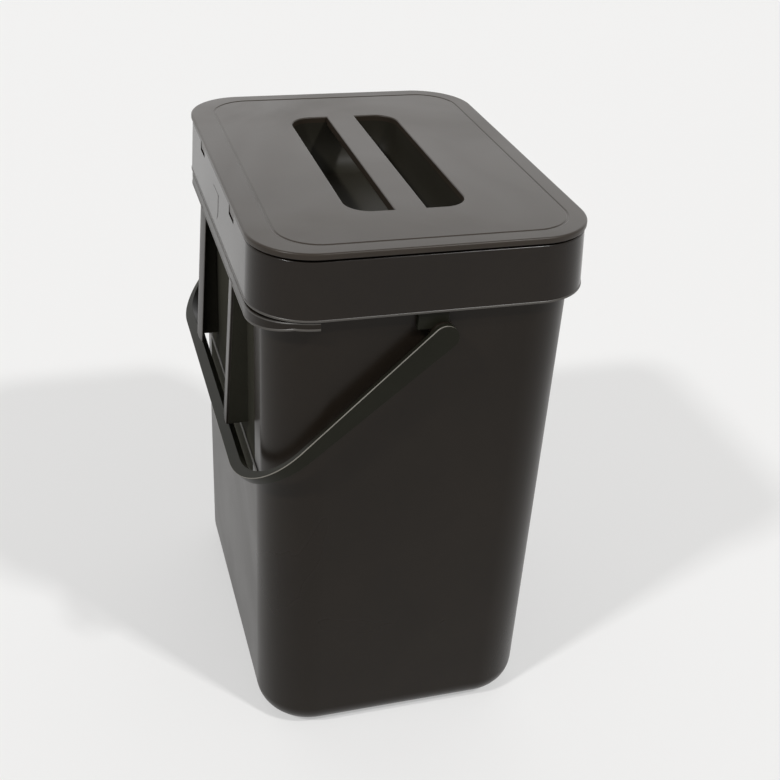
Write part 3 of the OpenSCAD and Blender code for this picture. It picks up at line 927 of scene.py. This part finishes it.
def ground():
    """A plain pale floor that shows white and keeps the object's shadow."""
    mesh = bpy.data.meshes.new("ground")
    corners = [(-FLOOR_REACH, -FLOOR_REACH), (FLOOR_REACH, -FLOOR_REACH),
               (FLOOR_REACH, FLOOR_REACH), (-FLOOR_REACH, FLOOR_REACH)]
    mesh.from_pydata(at(corners, 0), [], [(0, 1, 2, 3)])
    mat = bpy.data.materials.new("ground")
    mat.use_nodes = True
    nodes = mat.node_tree.nodes
    link = mat.node_tree.links.new
    paint = nodes["Principled BSDF"]
    paint.inputs["Base Color"].default_value = FLOOR_PAINT
    paint.inputs["Roughness"].default_value = 0.8
    glow = nodes.new("ShaderNodeEmission")
    glow.inputs["Color"].default_value = PAPER_WHITE
    glow.inputs["Strength"].default_value = 1.0
    share = math_node(nodes, link, "MULTIPLY", background_rays(nodes, link), FLOOR_GLOW_SHARE)
    mix = nodes.new("ShaderNodeMixShader")
    link(share, mix.inputs["Fac"])
    link(paint.outputs["BSDF"], mix.inputs[1])
    link(glow.outputs["Emission"], mix.inputs[2])
    link(mix.outputs["Shader"], nodes["Material Output"].inputs["Surface"])
    mesh.materials.append(mat)
    obj = bpy.data.objects.new("ground", mesh)
    bpy.context.scene.collection.objects.link(obj)


def sky():
    """Soft room light for the object, and white where the background shows."""
    world = bpy.data.worlds.new("studio")
    bpy.context.scene.world = world
    world.use_nodes = True
    nodes = world.node_tree.nodes
    link = world.node_tree.links.new
    room = nodes["Background"]
    room.inputs["Color"].default_value = ROOM_COLOUR
    room.inputs["Strength"].default_value = ROOM_STRENGTH
    white = nodes.new("ShaderNodeBackground")
    white.inputs["Color"].default_value = PAPER_WHITE
    white.inputs["Strength"].default_value = 1.0
    mix = nodes.new("ShaderNodeMixShader")
    link(background_rays(nodes, link), mix.inputs["Fac"])
    link(room.outputs["Background"], mix.inputs[1])
    link(white.outputs["Background"], mix.inputs[2])
    link(mix.outputs["Shader"], nodes["World Output"].inputs["Surface"])


def lamp(name, place, aim, size, power):
    """An area lamp. Places and sizes are in metres."""
    data = bpy.data.lights.new(name, "AREA")
    data.shape = "RECTANGLE"
    data.size, data.size_y = size
    data.energy = power
    obj = bpy.data.objects.new(name, data)
    obj.location = place
    obj.rotation_euler = (Vector(aim) - Vector(place)).to_track_quat("-Z", "Y").to_euler()
    bpy.context.scene.collection.objects.link(obj)


def camera():
    """The photograph's viewpoint."""
    right = Vector((math.cos(AZIMUTH), math.sin(AZIMUTH), 0))
    level_back = Vector((math.sin(AZIMUTH), -math.cos(AZIMUTH), 0))
    back = level_back * math.cos(ELEVATION) + Vector((0, 0, math.sin(ELEVATION)))
    up = back.cross(right)
    place = AIM + right * CAMERA_RIGHT + up * CAMERA_UP + back * CAMERA_BACK
    rolled_right = right * math.cos(ROLL) + up * math.sin(ROLL)
    rolled_up = up * math.cos(ROLL) - right * math.sin(ROLL)
    data = bpy.data.cameras.new("camera")
    data.sensor_width = SENSOR
    data.lens = FOCAL_PIXELS / PHOTO_PIXELS * SENSOR
    data.clip_start = 0.01
    obj = bpy.data.objects.new("camera", data)
    turn = Matrix((rolled_right, rolled_up, back)).transposed().to_4x4()
    obj.matrix_world = Matrix.Translation(place * MM) @ turn
    bpy.context.scene.collection.objects.link(obj)
    bpy.context.scene.camera = obj


ground()
sky()
lamp("right_lamp", (-3.45, -2.64, 5.34), aim=(0, 0, 0.1), size=(0.52, 0.52), power=200)
lamp("left_lamp", (-2.11, 4.18, 5.01), aim=(0, 0, 0.1), size=(0.52, 0.52), power=200)
lamp("far_panel", (2.0, -0.4, 1.35), aim=(0, 0, 0.15), size=(6.4, 2.2), power=27)
camera()

bpy.context.scene.view_settings.view_transform = "Standard"
